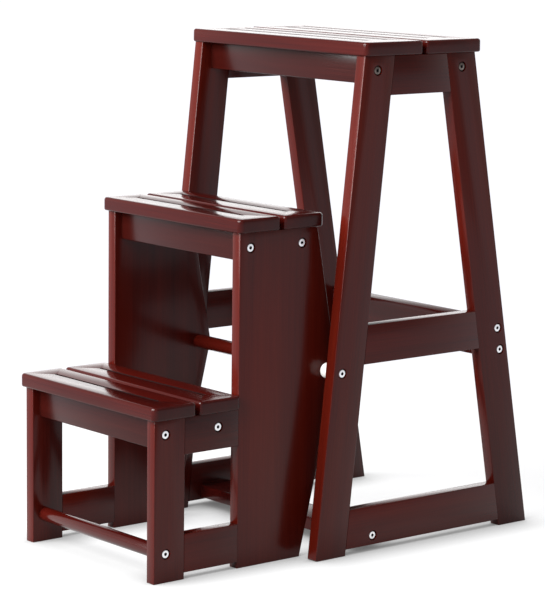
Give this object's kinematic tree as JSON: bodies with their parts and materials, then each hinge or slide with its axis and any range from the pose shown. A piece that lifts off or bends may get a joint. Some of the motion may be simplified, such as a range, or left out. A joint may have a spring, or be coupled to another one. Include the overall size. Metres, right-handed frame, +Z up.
{
  "type": "step ladder",
  "caption": "Folding wooden step ladder: a tall stool on slanted side frames, and a hinged step unit that swings up and over to stow upside down inside it.",
  "frame": {"origin": "middle of the footprint, on the floor", "axes": "+Z up; +X to the climber's right; +Y from the lower step towards the back of the tall stool"},
  "size_m": [0.348, 0.595, 0.64],
  "materials": {
    "lacquered_wood": "dark cherry stain under gloss lacquer",
    "dowel_wood": "unfinished beech",
    "bolt_steel": "bright zinc plate",
    "hidden_steel": "zinc plate",
    "nylon": "white nylon"
  },
  "bodies": {
    "stool_frame": {"cross_rail_bolts": "bolt_steel", "cross_rail_nuts": "hidden_steel", "floor_board_bolts": "bolt_steel", "floor_board_nuts": "hidden_steel", "floor_cross_board": "lacquered_wood", "left_bottom_rail": "lacquered_wood", "left_frame_dowels": "dowel_wood", "left_front_leg": "lacquered_wood", "left_middle_rail": "lacquered_wood", "left_rear_leg": "lacquered_wood", "left_top_rail": "lacquered_wood", "rear_cross_rail": "lacquered_wood", "right_bottom_rail": "lacquered_wood", "right_frame_dowels": "dowel_wood", "right_front_leg": "lacquered_wood", "right_middle_rail": "lacquered_wood", "right_rear_leg": "lacquered_wood", "right_top_rail": "lacquered_wood", "seat_apron_bolts": "bolt_steel", "seat_apron_nuts": "hidden_steel", "seat_dowels": "dowel_wood", "seat_front_apron": "lacquered_wood", "seat_front_board": "lacquered_wood", "seat_rear_apron": "lacquered_wood", "seat_rear_board": "lacquered_wood", "seat_screws": "hidden_steel"},
    "step_unit": {"front_rod": "lacquered_wood", "front_rod_bolts": "bolt_steel", "front_rod_inserts": "hidden_steel", "left_front_post": "lacquered_wood", "left_lower_rail": "lacquered_wood", "left_panel_dowels": "dowel_wood", "left_pivot_bolt": "bolt_steel", "left_pivot_spacer": "nylon", "left_side_panel": "lacquered_wood", "left_upper_rail": "lacquered_wood", "lower_front_apron": "lacquered_wood", "lower_front_board": "lacquered_wood", "lower_rear_apron": "lacquered_wood", "lower_rear_board": "lacquered_wood", "middle_front_apron": "lacquered_wood", "middle_front_board": "lacquered_wood", "middle_rear_apron": "lacquered_wood", "middle_rear_board": "lacquered_wood", "pivot_rod": "lacquered_wood", "pivot_rod_inserts": "hidden_steel", "right_front_post": "lacquered_wood", "right_lower_rail": "lacquered_wood", "right_panel_dowels": "dowel_wood", "right_pivot_bolt": "bolt_steel", "right_pivot_spacer": "nylon", "right_side_panel": "lacquered_wood", "right_upper_rail": "lacquered_wood", "step_apron_bolts": "bolt_steel", "step_apron_nuts": "hidden_steel", "step_dowels": "dowel_wood", "step_screws": "hidden_steel"}
  },
  "joints": [
    {"name": "fold_hinge", "type": "hinge", "parent": "stool_frame", "child": "step_unit", "pos_m": [0, -0.028, 0.233], "axis": [-1, 0, 0], "range_deg": [0, 174]}
  ]
}
